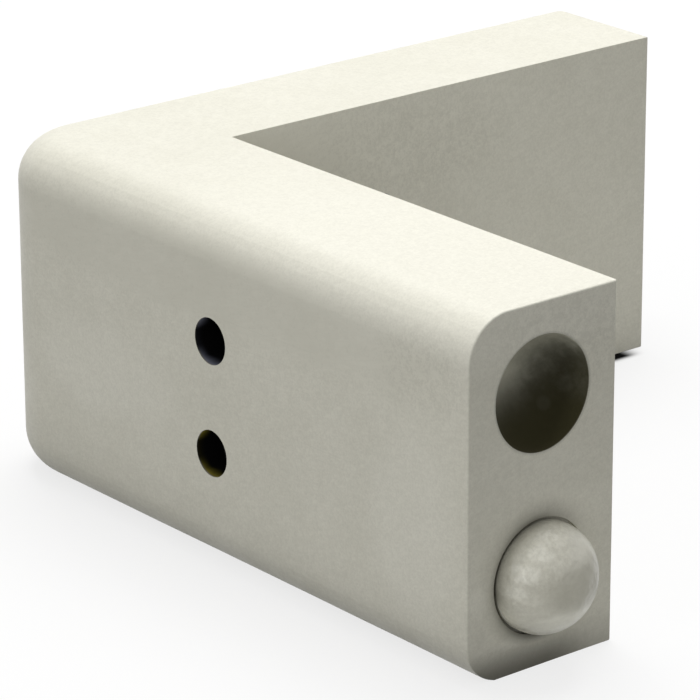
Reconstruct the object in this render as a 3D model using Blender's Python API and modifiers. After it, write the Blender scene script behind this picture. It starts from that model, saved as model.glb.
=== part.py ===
"""Dock corner bumper: one moulded L-shaped guard whose ends plug into the next bumper.

The guard stands on its base with its outer faces towards -X and -Y. The origin is on the base,
where the middle planes of the two legs cross. The near leg runs along +X and the far leg along +Y.
"""

import math

import bmesh
import bpy
from mathutils import Quaternion, Vector

# Overall sizes
LEG_LENGTH = 0.315             # from the outer corner to an end face, both legs
THICKNESS = 0.075              # across each leg, outer face to inner face
HEIGHT = 0.150

# Rounding of the outer side; the dock side and the end faces stay crisp
OUTER_CORNER_RADIUS = 0.035    # the upright edge between the two outer faces
TOP_EDGE_RADIUS = 0.0195
FOOT_EDGE_RADIUS = 0.0195
FOOT_TRIM = 0.001              # the base cuts this much off the lowest part of the foot rounding

# Bolt holes, a pair one above the other through each leg
BOLT_HOLE_RADIUS = 0.0099
BOLTS_FROM_CORNER = 0.1560     # from the outer corner, along the leg
BOLT_SPACING = 0.0485          # between the two holes of a pair
BOLT_PAIR_DROP = 0.0013        # the pair sits this far below mid height

# Knob and socket on the end faces
JOINT_SPACING = 0.075          # between the axes of the knob and the socket
KNOB_RADIUS = 0.02275
KNOB_REACH = 0.0215            # from the end face to the top of the dome
KNOB_SHANK = 0.0015            # straight side between the end face and the dome
GROOVE_WIDTH = 0.001           # narrow groove in the end face round the root of the knob
GROOVE_DEPTH = 0.0014
JOINT_CLEARANCE = 0.00075      # between a knob and the socket that takes it
SOCKET_LIP_RADIUS = 0.0005

# How far helper forms run into or past the moulding
KNOB_ROOT = 0.005              # below the bottom of the groove
CUT_OVERRUN = 0.005

# Facets
CORNER_SEGMENTS = 10
EDGE_SEGMENTS = 8
BOLT_HOLE_SIDES = 32
TURNED_SIDES = 48
DOME_SEGMENTS = 10
LIP_SEGMENTS = 3
SMOOTH_ANGLE = math.radians(30)
MERGE_DISTANCE = 0.00001

# Finish
MOULDING_COLOUR = (0.73, 0.71, 0.61, 1.0)
MOULDING_ROUGHNESS = 0.5

# Places worked out from the sizes
OUTER_PLANE = -THICKNESS / 2
INNER_PLANE = THICKNESS / 2
END_PLANE = LEG_LENGTH - THICKNESS / 2
BOLTS_ALONG_LEG = BOLTS_FROM_CORNER - THICKNESS / 2
BOLT_HEIGHTS = [HEIGHT / 2 - BOLT_PAIR_DROP + side * BOLT_SPACING / 2 for side in (-1, 1)]
LOWER_JOINT_HEIGHT = HEIGHT / 2 - JOINT_SPACING / 2
UPPER_JOINT_HEIGHT = HEIGHT / 2 + JOINT_SPACING / 2
X_AXIS = Vector((1, 0, 0))
Y_AXIS = Vector((0, 1, 0))


def clear_scene():
    """Remove whatever the scene holds."""
    for old in list(bpy.data.objects):
        bpy.data.objects.remove(old, do_unlink=True)


def new_collection(name):
    """Make a collection under the scene's own."""
    collection = bpy.data.collections.new(name)
    bpy.context.scene.collection.children.link(collection)
    return collection


def new_object(name, mesh, collection):
    """Make an object for a mesh and put it in a collection."""
    made = bpy.data.objects.new(name, mesh)
    collection.objects.link(made)
    return made


def mesh_from(bm, name):
    """Turn a bmesh into a mesh and free it."""
    mesh = bpy.data.meshes.new(name)
    bm.to_mesh(mesh)
    bm.free()
    return mesh


def as_helper(helper):
    """Show a helper form as a wire, and keep it out of the render."""
    helper.display_type = "WIRE"
    helper.hide_render = True
    return helper


def elliptic_arc(centre, across, along, start, end, segments):
    """Points (radius, height) on an arc of an ellipse, from one angle in degrees to another."""
    points = []
    for step in range(segments + 1):
        angle = math.radians(start + (end - start) * step / segments)
        radius = centre[0] + across * math.cos(angle)
        points.append((radius, centre[1] + along * math.sin(angle)))
    return points


def moulding_material():
    """Off-white moulded plastic."""
    material = bpy.data.materials.new("moulding")
    material.use_nodes = True
    shader = material.node_tree.nodes["Principled BSDF"]
    shader.inputs["Base Color"].default_value = MOULDING_COLOUR
    shader.inputs["Roughness"].default_value = MOULDING_ROUGHNESS
    shader.inputs["Metallic"].default_value = 0.0
    return material


def l_prism():
    """Upright prism on the L-shaped plan, a little deeper than the finished foot."""
    bottom = -FOOT_TRIM
    plan = [(OUTER_PLANE, OUTER_PLANE), (END_PLANE, OUTER_PLANE), (END_PLANE, INNER_PLANE),
            (INNER_PLANE, INNER_PLANE), (INNER_PLANE, END_PLANE), (OUTER_PLANE, END_PLANE)]
    bm = bmesh.new()
    base = bm.faces.new([bm.verts.new((x, y, bottom)) for x, y in plan])
    raised = bmesh.ops.extrude_face_region(bm, geom=[base])["geom"]
    lifted = [item for item in raised if isinstance(item, bmesh.types.BMVert)]
    bmesh.ops.translate(bm, verts=lifted, vec=(0, 0, HEIGHT - bottom))
    bmesh.ops.recalc_face_normals(bm, faces=bm.faces)
    return bm


def middle(edge):
    """Middle point of an edge."""
    return (edge.verts[0].co + edge.verts[1].co) / 2


def round_edges(bm, edges, radius, segments):
    """Round a chain of edges."""
    bmesh.ops.bevel(bm, geom=edges, offset=radius, offset_type="OFFSET", segments=segments,
                    profile=0.5, affect="EDGES", clamp_overlap=True, material=-1)


def round_outer_corner(bm):
    """Round the upright edge between the two outer faces."""
    corner = Vector((OUTER_PLANE, OUTER_PLANE))
    upright = [edge for edge in bm.edges if (middle(edge).xy - corner).length < MERGE_DISTANCE]
    round_edges(bm, upright, OUTER_CORNER_RADIUS, CORNER_SEGMENTS)


def round_outer_rim(bm, height, radius):
    """Round the outer edge at one height, right round the corner from end face to end face."""
    rim = []
    for edge in bm.edges:
        level = all(abs(vert.co.z - height) < MERGE_DISTANCE for vert in edge.verts)
        spot = middle(edge)
        on_outer_side = len(edge.link_faces) == 2 and min(spot.x, spot.y) < 0
        on_end_face = max(spot.x, spot.y) > END_PLANE - MERGE_DISTANCE
        if level and on_outer_side and not on_end_face:
            rim.append(edge)
    round_edges(bm, rim, radius, EDGE_SEGMENTS)


def trim_foot(bm):
    """Cut the prism off level at the base, so that the foot rounding meets it at an angle."""
    everything = bm.verts[:] + bm.edges[:] + bm.faces[:]
    cut = bmesh.ops.bisect_plane(bm, geom=everything, dist=MERGE_DISTANCE / 10,
                                 plane_co=(0, 0, 0), plane_no=(0, 0, 1), clear_inner=True)
    outline = [item for item in cut["geom_cut"] if isinstance(item, bmesh.types.BMEdge)]
    bmesh.ops.edgeloop_fill(bm, edges=outline)
    bmesh.ops.recalc_face_normals(bm, faces=bm.faces)


def make_moulding(collection):
    """The two legs in one, with the rounded outer side."""
    bm = l_prism()
    round_outer_corner(bm)
    round_outer_rim(bm, HEIGHT, TOP_EDGE_RADIUS)
    round_outer_rim(bm, -FOOT_TRIM, FOOT_EDGE_RADIUS)
    trim_foot(bm)
    return new_object("bumper", mesh_from(bm, "bumper"), collection)


def turned_form(name, profile, place, outward, collection, first_side=0.0):
    """Turn a profile of (radius, height) points about an axis that points out of an end face.

    The sides are counted from the angle first_side.
    """
    bm = bmesh.new()
    chain = [bm.verts.new((radius, 0, height)) for radius, height in profile]
    for upper, lower in zip(chain, chain[1:]):
        bm.edges.new((upper, lower))
    form = as_helper(new_object(name, mesh_from(bm, name), collection))
    form.location = place
    turn = outward.to_track_quat("Z", "Y") @ Quaternion((0, 0, 1), first_side)
    form.rotation_euler = turn.to_euler()
    screw = form.modifiers.new("turn", "SCREW")
    screw.angle = math.tau
    screw.steps = TURNED_SIDES
    screw.render_steps = TURNED_SIDES
    screw.use_merge_vertices = True
    screw.merge_threshold = MERGE_DISTANCE
    return form


def knob_profile():
    """Dome, short straight shank, and a root buried in the leg."""
    root = -(GROOVE_DEPTH + KNOB_ROOT)
    dome = elliptic_arc((0, KNOB_SHANK), KNOB_RADIUS, KNOB_REACH - KNOB_SHANK, 90, 0,
                        DOME_SEGMENTS)
    dome[0] = (0, KNOB_REACH)
    return dome + [(KNOB_RADIUS, root), (0, root)]


def groove_profile():
    """Shallow round pocket; the knob that stands in it leaves only the groove.

    Its sides are set half a side away from the knob's, so that their edges never meet.
    """
    radius = KNOB_RADIUS + GROOVE_WIDTH
    return [(0, CUT_OVERRUN), (radius, CUT_OVERRUN), (radius, -GROOVE_DEPTH), (0, -GROOVE_DEPTH)]


def socket_profile():
    """Mouth, rounded lip, straight side and a bowl: the knob's own form with clearance."""
    radius = KNOB_RADIUS + JOINT_CLEARANCE
    depth = KNOB_REACH + JOINT_CLEARANCE
    lip = elliptic_arc((radius + SOCKET_LIP_RADIUS, -SOCKET_LIP_RADIUS), -SOCKET_LIP_RADIUS,
                       SOCKET_LIP_RADIUS, 90, 0, LIP_SEGMENTS)
    bowl = elliptic_arc((0, -KNOB_SHANK), radius, depth - KNOB_SHANK, 0, -90, DOME_SEGMENTS)
    bowl[-1] = (0, -depth)
    mouth = [(0, CUT_OVERRUN), (radius + SOCKET_LIP_RADIUS, CUT_OVERRUN)]
    return mouth + lip + bowl


def bolt_hole(name, place, direction, collection):
    """A straight round hole right through a leg."""
    depth = THICKNESS + 2 * CUT_OVERRUN
    bm = bmesh.new()
    bmesh.ops.create_cone(bm, cap_ends=True, segments=BOLT_HOLE_SIDES, radius1=BOLT_HOLE_RADIUS,
                          radius2=BOLT_HOLE_RADIUS, depth=depth)
    hole = as_helper(new_object(name, mesh_from(bm, name), collection))
    hole.location = place
    hole.rotation_euler = direction.to_track_quat("Z", "Y").to_euler()
    return hole


def combine(moulding, helper, operation):
    """Add a Boolean of one helper form to the moulding."""
    boolean = moulding.modifiers.new(helper.name, "BOOLEAN")
    boolean.operation = operation
    boolean.solver = "EXACT"
    boolean.object = helper


def add_end(moulding, end_name, outward, knob_height, socket_height, helpers):
    """Put the knob and the socket on one end face."""
    face = outward * END_PLANE
    knob_place = face + Vector((0, 0, knob_height))
    socket_place = face + Vector((0, 0, socket_height))
    half_side = math.pi / TURNED_SIDES
    groove = turned_form(end_name + "_groove", groove_profile(), knob_place, outward, helpers,
                         half_side)
    knob = turned_form(end_name + "_knob", knob_profile(), knob_place, outward, helpers)
    socket = turned_form(end_name + "_socket", socket_profile(), socket_place, outward, helpers)
    combine(moulding, groove, "DIFFERENCE")
    combine(moulding, knob, "UNION")
    combine(moulding, socket, "DIFFERENCE")


def add_bolt_holes(moulding, leg_name, along, through, helpers):
    """Put the pair of bolt holes through one leg."""
    for level, height in zip(("lower", "upper"), BOLT_HEIGHTS):
        place = along * BOLTS_ALONG_LEG + Vector((0, 0, height))
        hole = bolt_hole(f"{leg_name}_{level}_bolt_hole", place, through, helpers)
        combine(moulding, hole, "DIFFERENCE")


def main():
    """Build the bumper."""
    clear_scene()
    pieces = new_collection("dock_corner_bumper")
    helpers = new_collection("helper_forms")
    moulding = make_moulding(pieces)
    add_end(moulding, "near", X_AXIS, LOWER_JOINT_HEIGHT, UPPER_JOINT_HEIGHT, helpers)
    add_end(moulding, "far", Y_AXIS, UPPER_JOINT_HEIGHT, LOWER_JOINT_HEIGHT, helpers)
    add_bolt_holes(moulding, "near", X_AXIS, Y_AXIS, helpers)
    add_bolt_holes(moulding, "far", Y_AXIS, X_AXIS, helpers)
    moulding.data.shade_smooth()
    moulding.data.set_sharp_from_angle(angle=SMOOTH_ANGLE)
    moulding.data.materials.append(moulding_material())


main()
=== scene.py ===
"""Dock corner bumper: the moulding with its finish, on a plain studio floor."""

import math

import bmesh
import bpy
from bpy.props import FloatProperty, FloatVectorProperty, PointerProperty
from mathutils import Matrix, Quaternion, Vector, noise


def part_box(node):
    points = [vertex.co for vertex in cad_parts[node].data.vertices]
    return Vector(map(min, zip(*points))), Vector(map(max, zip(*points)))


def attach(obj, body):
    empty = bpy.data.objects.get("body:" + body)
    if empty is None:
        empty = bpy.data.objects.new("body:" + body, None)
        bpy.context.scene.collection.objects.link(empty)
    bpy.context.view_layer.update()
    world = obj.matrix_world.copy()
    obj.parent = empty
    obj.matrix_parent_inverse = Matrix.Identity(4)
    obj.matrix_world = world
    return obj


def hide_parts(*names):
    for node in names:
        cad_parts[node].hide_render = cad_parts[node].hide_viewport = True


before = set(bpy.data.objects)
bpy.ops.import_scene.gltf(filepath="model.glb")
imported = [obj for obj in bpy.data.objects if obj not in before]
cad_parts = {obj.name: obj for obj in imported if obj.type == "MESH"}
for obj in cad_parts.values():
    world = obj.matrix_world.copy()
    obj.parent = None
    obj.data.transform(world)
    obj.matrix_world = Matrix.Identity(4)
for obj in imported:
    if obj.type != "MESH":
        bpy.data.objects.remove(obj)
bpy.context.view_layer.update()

bl_info = {
    "name": "Dock Corner Bumper",
    "version": (1, 0, 0),
    "blender": (4, 5, 0),
    "location": "View3D > Sidebar > Bumper",
    "description": "Adds a moulded dock corner bumper and a plain studio to see it in",
    "category": "Add Mesh",
}

NODE_LOW, NODE_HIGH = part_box("bumper")
KNOB_REACH = 0.0215
X_AXIS = Vector((1, 0, 0))
Y_AXIS = Vector((0, 1, 0))

# Which finish a face takes; the order of the material slots
SKIN, KNOB, SOCKET, BORE = range(4)

# Facets of the finished moulding
CORNER_SEGMENTS = 28
RIM_SEGMENTS = 16
TURNED_SIDES = 96
DOME_SEGMENTS = 24
LIP_SEGMENTS = 5
BORE_SIDES = 64
SOFT_EDGE_SEGMENTS = 3
CELL_SIZE = 0.009

# Points nearer to each other than this are one
MERGE_DISTANCE = 0.00001

# Turn between two faces from which their edge is softened, and from which it is shaded sharp
CRISP_ANGLE = math.radians(40)
SHADING_ANGLE = math.radians(50)

# Share of its radius within which a face still lies on a knob's shank, and on a hole's wall
ON_SHANK = 1.001
ON_WALL = 1.002

# How big the clouds are in each finish, broad and fine
SKIN_CLOUDS = (0.035, 0.004)
ROUGH_CLOUDS = (0.0032, 0.0016)
FINE_CLOUDS = (0.0013, 0.0008)
KNOB_CLOUDS = (0.014, 0.0022)
KNOB_MOTTLING = (0.0026, 0.0013)
SOCKET_CLOUDS = (0.009, 0.005)

# How strongly each mark, and each patch of painted light or painted shade, shows on the skin
CLOUD_SHARE = 0.5
STROKE_SHARE = 0.35
PALE_AND_LIT_SHARE = 0.7
SCRATCH_SHARE = 0.09
SPECK_SHARE = 0.11
MOTTLE_SHARE = 0.13
ROUGH_SHARE = 0.075
CROWDED_SHARE = 0.10
SHADE_SHARE = 0.13
SMUDGE_SHARE = 0.24
TOP_CORNER_SHARE = 0.05

# How deep the grain is in each finish
SKIN_GRAIN = 0.0001
KNOB_GRAIN = 0.0016
SOCKET_GRAIN = 0.0003

# How rough and how glossy the sockets and the bolt holes are
SOCKET_ROUGHNESS, LIT_SMOOTHING, SOCKET_GLOSS = 0.85, 0.45, 0.35
BORE_ROUGHNESS, BORE_GLOSS = 0.8, 0.05

# Painted contact shadow: the dark strip where the far leg meets the floor
PAINTED_SHADOW_COLOUR = (0.01, 0.01, 0.01)

# Where the lamps stand, from the point they aim at, and how wide and tall they are
LAMP_TARGET = Vector((0.12, 0.12, 0.075))
KEY_STAND, KEY_SIZE = Vector((-0.80, 0.68, 2.75)), (2.0, 2.0)
FILL_STAND, FILL_SIZE = Vector((0.40, -1.75, 0.25)), (0.28, 1.2)


def distance(name, description, default):
    """A length setting, in metres."""
    return FloatProperty(name=name, description=description, default=default, unit="LENGTH")


def angle(name, description, default):
    """An angle setting, in radians."""
    return FloatProperty(name=name, description=description, default=default, subtype="ANGLE")


def share(name, description, default):
    """A setting from nothing to one."""
    return FloatProperty(name=name, description=description, default=default, min=0, max=1)


def tint(name, description, default):
    """A colour setting."""
    return FloatVectorProperty(name=name, description=description, default=default,
                               subtype="COLOR", min=0, max=1)


class BumperSizes(bpy.types.PropertyGroup):
    """Sizes of the moulding."""

    leg_length: distance(
        "Leg length", "From the outer corner to an end face",
        NODE_HIGH.x - KNOB_REACH - NODE_LOW.x)
    thickness: distance("Thickness", "Across a leg, outer face to dock face", -2 * NODE_LOW.x)
    height: distance("Height", "From the base to the top face", NODE_HIGH.z)
    outer_corner_radius: distance(
        "Outer corner radius", "Rounding of the upright outer edge", 0.035)
    top_edge_radius: distance(
        "Top edge radius", "Rounding of the outer edge of the top face", 0.0195)
    foot_edge_radius: distance(
        "Foot edge radius", "Rounding of the outer edge of the base", 0.0195)
    foot_trim: distance("Foot trim", "How much of the foot rounding the base cuts off", 0.001)
    bolt_hole_radius: distance("Bolt hole radius", "Radius of the four bolt holes", 0.0099)
    bolts_from_corner: distance(
        "Bolts from corner", "From the outer corner to a pair of bolt holes", 0.156)
    bolt_spacing: distance("Bolt spacing", "Between the two holes of a pair", 0.0485)
    bolt_pair_drop: distance("Bolt pair drop", "How far a pair sits below mid height", 0.0013)
    joint_spacing: distance("Joint spacing", "Between the axes of a knob and a socket", 0.075)
    knob_radius: distance("Knob radius", "Radius of a knob", 0.02275)
    knob_reach: distance("Knob reach", "From an end face to the top of a knob", KNOB_REACH)
    knob_shank: distance("Knob shank", "Straight side between the end face and the dome", 0.0015)
    groove_width: distance("Groove width", "Width of the groove round the root of a knob", 0.001)
    groove_depth: distance("Groove depth", "Depth of the groove round the root of a knob", 0.0014)
    joint_clearance: distance(
        "Joint clearance", "Between a knob and the socket that takes it", 0.00075)
    socket_lip_radius: distance("Socket lip radius", "Rounding of a socket's mouth", 0.0005)
    end_softening: distance("End softening", "Small rounding round the end faces", 0.0009)
    edge_softening: distance("Edge softening", "Small rounding on the other crisp edges", 0.0004)
    wander: distance("Wander", "How far the moulded faces dip below true", 0.00014)
    wander_length: distance(
        "Wander length", "Distance over which a face dips and comes back", 0.045)

    @property
    def outer_plane(self):
        """Where the outer faces lie."""
        return -self.thickness / 2

    @property
    def dock_plane(self):
        """Where the faces towards the dock lie."""
        return self.thickness / 2

    @property
    def end_plane(self):
        """Where the end faces lie."""
        return self.leg_length - self.thickness / 2

    @property
    def bolt_heights(self):
        """Heights of the lower and the upper bolt hole."""
        middle_height = self.height / 2 - self.bolt_pair_drop
        return [middle_height + side * self.bolt_spacing / 2 for side in (-1, 1)]

    @property
    def joint_heights(self):
        """Heights of the lower and the upper knob or socket."""
        return [(self.height + side * self.joint_spacing) / 2 for side in (-1, 1)]


class BumperFinish(bpy.types.PropertyGroup):
    """Colours and surface of the moulding."""

    skin_colour: tint("Skin colour", "Warm off-white of the moulded skin", (0.870, 0.851, 0.738))
    clouded_colour: tint(
        "Clouded colour", "Slightly darker clouds in the skin", (0.793, 0.775, 0.665))
    # Painted highlights and painted bounce light on the knobs take this colour.
    painted_highlight_colour: tint("Polished colour", "Pale rubbed spots on the knobs", (0.96, 0.945, 0.83))
    # This colour darkens real specks, scuffs, scratches and mottling, and also paints shade on the
    # skin and the knobs.
    speck_and_shade_colour: tint("Speck colour", "Small dark specks and scuffs", (0.40, 0.385, 0.31))
    # This colour makes two paler patches on the outer face, and paints light over the top and
    # highlights beside and under a knob.
    pale_and_lit_colour: tint(
        "Worn colour", "Slightly paler patches on the outer faces", (0.925, 0.907, 0.795))
    # This colour paints shade round the knobs, round the sockets' mouths, and low on the ends and
    # the outer faces.
    painted_shade_colour: tint(
        "Grime colour", "Dark dirt round the knobs and low on the ends", (0.085, 0.080, 0.055))
    # Painted shade: the inside of the sockets is coloured nearly black.
    socket_shade_colour: tint("Socket colour", "Dull dark inside of the sockets", (0.034, 0.030, 0.009))
    # Painted light on the outer side of the sockets' bowls takes this colour.
    socket_lit_colour: tint(
        "Dusty colour", "Pale dust on the outer side of the sockets", (0.885, 0.87, 0.735))
    upper_bore_colour: tint(
        "Upper bore colour", "Bluish light in the mouths of the upper holes", (0.72, 0.76, 0.96))
    lower_bore_colour: tint(
        "Lower bore colour", "Olive light in the mouths of the lower holes", (0.82, 0.69, 0.10))
    # Painted shade: the inside of the bolt holes is coloured nearly black.
    bore_shade_colour: tint(
        "Bore colour", "Nearly black inside of the bolt holes", (0.002, 0.002, 0.002))
    skin_roughness: share("Skin roughness", "Roughness of the moulded skin", 0.5)
    knob_roughness: share(
        "Knob roughness", "Roughness of the knobs, which are a little smoother", 0.34)


class StudioSettings(bpy.types.PropertyGroup):
    """Camera, floor and light."""

    camera_azimuth: angle("Camera azimuth", "Turn of the camera round the bumper", 0.88633)
    camera_elevation: angle("Camera elevation", "Height of the camera above the horizon", 0.3494)
    camera_roll: angle("Camera roll", "Turn of the camera about its line of sight", 0.00335)
    camera_distance: distance(
        "Camera distance", "From the camera to the point it looks at", 1.66398)
    camera_target: FloatVectorProperty(
        name="Camera target", description="Point at the middle of the picture",
        default=(0.20768, -0.0375, 0.11922), subtype="XYZ", unit="LENGTH")
    lens: FloatProperty(
        name="Lens", description="Focal length of the lens in millimetres", default=221.87)
    floor_size: distance("Floor size", "Side of the square floor", 12.0)
    floor_shown: tint("Floor as shown", "Colour of the floor to the camera", (0.95, 0.95, 0.95))
    floor_lit: tint(
        "Floor as a reflector", "Colour of the floor to the light it sends up",
        (0.10, 0.10, 0.092))
    floor_card: tint("Floor card", "Colour of two paler patches, to the light they send up",
                     (0.72, 0.72, 0.70))
    floor_glow: share("Floor glow", "Share of the shown floor that doesn't take shadow", 0.75)
    sky_strength: FloatProperty(
        name="Sky strength", description="Even light from all round", default=0.455, min=0)
    key_power: FloatProperty(
        name="Key power", description="Power of the large lamp above and behind",
        default=62.0, min=0, unit="POWER")
    fill_power: FloatProperty(
        name="Fill power", description="Power of the tall lamp at the outer side",
        default=7.4, min=0, unit="POWER")


def new_object(name, data):
    """Make an object in the scene's own collection."""
    made = bpy.data.objects.new(name, data)
    bpy.context.scene.collection.objects.link(made)
    return made


def mesh_from(bm, name):
    """Turn a bmesh into a mesh and free it."""
    mesh = bpy.data.meshes.new(name)
    bm.to_mesh(mesh)
    bm.free()
    return mesh


def middle(edge):
    """Middle point of an edge."""
    return (edge.verts[0].co + edge.verts[1].co) / 2


def round_edges(bm, edges, radius, segments):
    """Round a chain of edges."""
    bmesh.ops.bevel(bm, geom=edges, offset=radius, offset_type="OFFSET", segments=segments,
                    profile=0.5, affect="EDGES", clamp_overlap=True, material=-1)


def l_prism(sizes):
    """Upright prism on the L-shaped plan, a little deeper than the finished foot."""
    outer, dock, end = sizes.outer_plane, sizes.dock_plane, sizes.end_plane
    plan = [(outer, outer), (end, outer), (end, dock), (dock, dock), (dock, end), (outer, end)]
    bottom = -sizes.foot_trim
    bm = bmesh.new()
    base = bm.faces.new([bm.verts.new((x, y, bottom)) for x, y in plan])
    raised = bmesh.ops.extrude_face_region(bm, geom=[base])["geom"]
    lifted = [item for item in raised if isinstance(item, bmesh.types.BMVert)]
    bmesh.ops.translate(bm, verts=lifted, vec=(0, 0, sizes.height - bottom))
    bmesh.ops.recalc_face_normals(bm, faces=bm.faces)
    return bm


def round_outer_corner(bm, sizes):
    """Round the upright edge between the two outer faces."""
    corner = Vector((sizes.outer_plane, sizes.outer_plane))
    upright = [edge for edge in bm.edges if (middle(edge).xy - corner).length < MERGE_DISTANCE]
    round_edges(bm, upright, sizes.outer_corner_radius, CORNER_SEGMENTS)


def round_outer_rim(bm, sizes, height, radius):
    """Round the outer edge at one height, from end face to end face."""
    rim = []
    for edge in bm.edges:
        level = all(abs(vert.co.z - height) < MERGE_DISTANCE for vert in edge.verts)
        spot = middle(edge)
        on_end_face = max(spot.x, spot.y) > sizes.end_plane - MERGE_DISTANCE
        if level and min(spot.x, spot.y) < 0 and not on_end_face:
            rim.append(edge)
    round_edges(bm, rim, radius, RIM_SEGMENTS)


def trim_foot(bm):
    """Cut the legs off level at the base."""
    everything = bm.verts[:] + bm.edges[:] + bm.faces[:]
    cut = bmesh.ops.bisect_plane(bm, geom=everything, dist=MERGE_DISTANCE / 10,
                                 plane_co=(0, 0, 0), plane_no=(0, 0, 1), clear_inner=True)
    outline = [item for item in cut["geom_cut"] if isinstance(item, bmesh.types.BMEdge)]
    bmesh.ops.edgeloop_fill(bm, edges=outline)
    bmesh.ops.recalc_face_normals(bm, faces=bm.faces)


def make_legs(sizes):
    """The two legs in one, with the rounded outer side."""
    bm = l_prism(sizes)
    round_outer_corner(bm, sizes)
    round_outer_rim(bm, sizes, sizes.height, sizes.top_edge_radius)
    round_outer_rim(bm, sizes, -sizes.foot_trim, sizes.foot_edge_radius)
    trim_foot(bm)
    return new_object("bumper_moulding", mesh_from(bm, "bumper_moulding"))


def elliptic_arc(centre, across, along, start, end, segments):
    """Points (radius, height) on an arc of an ellipse, from one angle in degrees to another."""
    points = []
    for step in range(segments + 1):
        bearing = math.radians(start + (end - start) * step / segments)
        radius = centre[0] + across * math.cos(bearing)
        points.append((max(radius, 0), centre[1] + along * math.sin(bearing)))
    return points


def placed_form(bm, name, place, direction):
    """Point an upright form another way, move it into place and make it an object."""
    turn = direction.to_track_quat("Z", "Y").to_matrix().to_4x4()
    bm.transform(Matrix.Translation(place) @ turn)
    return new_object(name, mesh_from(bm, name))


def turned_form(name, profile, place, outward):
    """Spin a profile of (radius, height) points about an axis that points out of a face."""
    bm = bmesh.new()
    chain = [bm.verts.new((radius, 0, height)) for radius, height in profile]
    edges = [bm.edges.new(pair) for pair in zip(chain, chain[1:])]
    bmesh.ops.spin(bm, geom=chain + edges, cent=(0, 0, 0), axis=(0, 0, 1), dvec=(0, 0, 0),
                   angle=math.tau, steps=TURNED_SIDES, use_merge=True)
    bmesh.ops.remove_doubles(bm, verts=bm.verts, dist=MERGE_DISTANCE)
    bmesh.ops.recalc_face_normals(bm, faces=bm.faces)
    return placed_form(bm, name, place, outward)


def knob_profile(sizes):
    """Dome, short straight shank, and a root buried in the leg."""
    root = -4 * sizes.groove_depth
    dome = elliptic_arc((0, sizes.knob_shank), sizes.knob_radius,
                        sizes.knob_reach - sizes.knob_shank, 90, 0, DOME_SEGMENTS)
    return dome + [(sizes.knob_radius, root), (0, root)]


def groove_profile(sizes):
    """Shallow pocket round the root of a knob."""
    radius = sizes.knob_radius + sizes.groove_width
    over, depth = sizes.thickness / 8, sizes.groove_depth
    return [(0, over), (radius, over), (radius, -depth), (0, -depth)]


def socket_profile(sizes):
    """Mouth, rounded lip, straight side and a bowl: the knob's own form with clearance."""
    lip_radius = sizes.socket_lip_radius
    radius = sizes.knob_radius + sizes.joint_clearance
    depth = sizes.knob_reach + sizes.joint_clearance
    over = sizes.thickness / 8
    lip = elliptic_arc((radius + lip_radius, -lip_radius), -lip_radius, lip_radius, 90, 0,
                       LIP_SEGMENTS)
    bowl = elliptic_arc((0, -sizes.knob_shank), radius, depth - sizes.knob_shank, 0, -90,
                        DOME_SEGMENTS)
    return [(0, over), (radius + lip_radius, over)] + lip + bowl


def bore_form(name, sizes, place, direction):
    """A straight round bar as long as a bolt hole, and a little over."""
    radius, length = sizes.bolt_hole_radius, sizes.thickness * 1.25
    bm = bmesh.new()
    bmesh.ops.create_cone(bm, cap_ends=True, segments=BORE_SIDES, radius1=radius,
                          radius2=radius, depth=length)
    return placed_form(bm, name, place, direction)


def combine(moulding, form, operation):
    """Join a form to the moulding or cut it out, and remove the form."""
    boolean = moulding.modifiers.new(form.name, "BOOLEAN")
    boolean.operation = operation
    boolean.solver = "EXACT"
    boolean.object = form
    graph = bpy.context.evaluated_depsgraph_get()
    combined = bpy.data.meshes.new_from_object(moulding.evaluated_get(graph))
    combined.name = moulding.name
    moulding.modifiers.clear()
    moulding.data = combined
    bpy.data.objects.remove(form, do_unlink=True)


def add_end(moulding, sizes, outward, knob_height, socket_height):
    """Form the knob, its groove and the socket on one end face."""
    for name, profile, height, operation in (
            ("groove", groove_profile(sizes), knob_height, "DIFFERENCE"),
            ("knob", knob_profile(sizes), knob_height, "UNION"),
            ("socket", socket_profile(sizes), socket_height, "DIFFERENCE")):
        place = outward * sizes.end_plane + Vector((0, 0, height))
        combine(moulding, turned_form(name, profile, place, outward), operation)


def add_bolt_holes(moulding, sizes, along, through):
    """Cut the pair of bolt holes through one leg."""
    for height in sizes.bolt_heights:
        place = along * (sizes.bolts_from_corner - sizes.thickness / 2) + Vector((0, 0, height))
        combine(moulding, bore_form("bolt_hole", sizes, place, through), "DIFFERENCE")


def from_axes(spot, end_heights):
    """Distance of a point from the nearer of two axes that run out of the end faces."""
    near = math.hypot(spot.y, spot.z - end_heights[0])
    far = math.hypot(spot.x, spot.z - end_heights[1])
    return near if spot.x > spot.y else far


def from_bolts(spot, sizes):
    """Distance of a point from the nearest bolt hole's axis."""
    along = max(spot.x, spot.y) - (sizes.bolts_from_corner - sizes.thickness / 2)
    return min(math.hypot(along, spot.z - height) for height in sizes.bolt_heights)


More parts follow.
